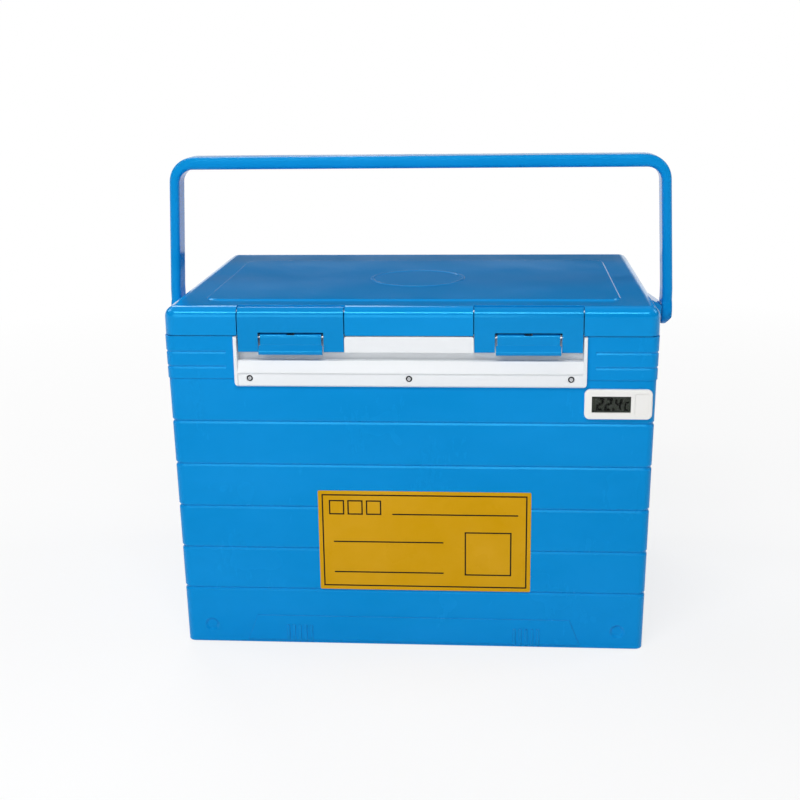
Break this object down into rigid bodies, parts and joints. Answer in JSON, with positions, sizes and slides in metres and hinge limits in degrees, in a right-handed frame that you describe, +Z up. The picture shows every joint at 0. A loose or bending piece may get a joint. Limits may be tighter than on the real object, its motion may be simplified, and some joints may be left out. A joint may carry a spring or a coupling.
{
  "type": "insulated specimen transport box",
  "caption": "Insulated carry box for specimens: grooved blue shell, hinged lid with a bail handle, two front latches on a white catch strip, panel thermometer and label.",
  "frame": {"origin": "middle of the base, on the face that it stands on", "axes": "+X from the left to the right seen from the front, +Y from the front to the back, +Z up"},
  "size_m": [0.5074, 0.3375, 0.4556],
  "materials": {
    "body_blue": "satin moulded, fine grain",
    "lid_blue": "satin moulded, fine grain",
    "hinge_blue": "satin moulded",
    "latch_blue": "satin moulded",
    "tab_blue": "satin moulded",
    "handle_blue": "satin moulded",
    "trim_white": "semi-gloss moulded",
    "liner_white": "smooth, wipe-clean",
    "foam": "rigid closed-cell foam",
    "gasket_rubber": "soft moulded",
    "grommet_rubber": "soft moulded",
    "label_yellow": "printed film, bare",
    "meter_white": "semi-gloss moulded",
    "meter_cover": "moulded",
    "meter_lens": "clear flat window",
    "meter_display": "liquid crystal cell",
    "board_green": "laminate",
    "cell_steel": "button cell case",
    "lead_black": "flexible sheath",
    "probe_steel": "drawn tube",
    "screw_steel": "pan head",
    "pin_steel": "turned pin",
    "pivot_steel": "turned, headed pin",
    "spring_steel": "wound wire"
  },
  "bodies": {
    "body": {"body_shell": "body_blue", "body_insulation": "foam", "inner_liner": "liner_white", "catch_trim": "trim_white", "trim_screws": "screw_steel", "body_hinge_leaves": "hinge_blue", "hinge_screws": "screw_steel", "hinge_pins": "pin_steel", "label": "label_yellow", "thermometer_case": "meter_white", "thermometer_lens": "meter_lens", "thermometer_display": "meter_display", "thermometer_board": "board_green", "thermometer_cells": "cell_steel", "thermometer_cover": "meter_cover", "probe_lead": "lead_black", "probe_grommet": "grommet_rubber", "temperature_probe": "probe_steel"},
    "lid": {"lid_shell": "lid_blue", "lid_hinge_leaves": "hinge_blue", "lid_insulation": "foam", "lid_inner_panel": "liner_white", "lid_gasket": "gasket_rubber", "latch_hinge_pin_left": "pin_steel", "latch_hinge_pin_right": "pin_steel", "handle_pivot_pins": "pivot_steel"},
    "latch_left": {"latch_plate_left": "latch_blue", "tab_pin_left": "pin_steel", "tab_spring_left": "spring_steel"},
    "tab_left": {"latch_tab_left": "tab_blue"},
    "latch_right": {"latch_plate_right": "latch_blue", "tab_pin_right": "pin_steel", "tab_spring_right": "spring_steel"},
    "tab_right": {"latch_tab_right": "tab_blue"},
    "handle": {"handle_bail": "handle_blue"}
  },
  "joints": [
    {"name": "lid_hinge", "type": "hinge", "parent": "body", "child": "lid", "pos_m": [0, 0.1666, 0.307], "axis": [-1, 0, 0], "range_deg": [0, 105]},
    {"name": "handle_swing", "type": "hinge", "parent": "lid", "child": "handle", "pos_m": [0, 0, 0.302], "axis": [-1, 0, 0], "range_deg": [-69, 69]},
    {"name": "latch_left", "type": "hinge", "parent": "lid", "child": "latch_left", "pos_m": [-0.1078, -0.153, 0.3282], "axis": [-1, 0, 0], "range_deg": [0, 110]},
    {"name": "tab_left", "type": "hinge", "parent": "latch_left", "child": "tab_left", "pos_m": [-0.1078, -0.1565, 0.305], "axis": [-1, 0, 0], "range_deg": [0, 35], "stiffness_Nm_per_rad": 0.03, "springref_deg": -20.05},
    {"name": "latch_right", "type": "hinge", "parent": "lid", "child": "latch_right", "pos_m": [0.1078, -0.153, 0.3282], "axis": [-1, 0, 0], "range_deg": [0, 110]},
    {"name": "tab_right", "type": "hinge", "parent": "latch_right", "child": "tab_right", "pos_m": [0.1078, -0.1565, 0.305], "axis": [-1, 0, 0], "range_deg": [0, 35], "stiffness_Nm_per_rad": 0.03, "springref_deg": -20.05}
  ]
}
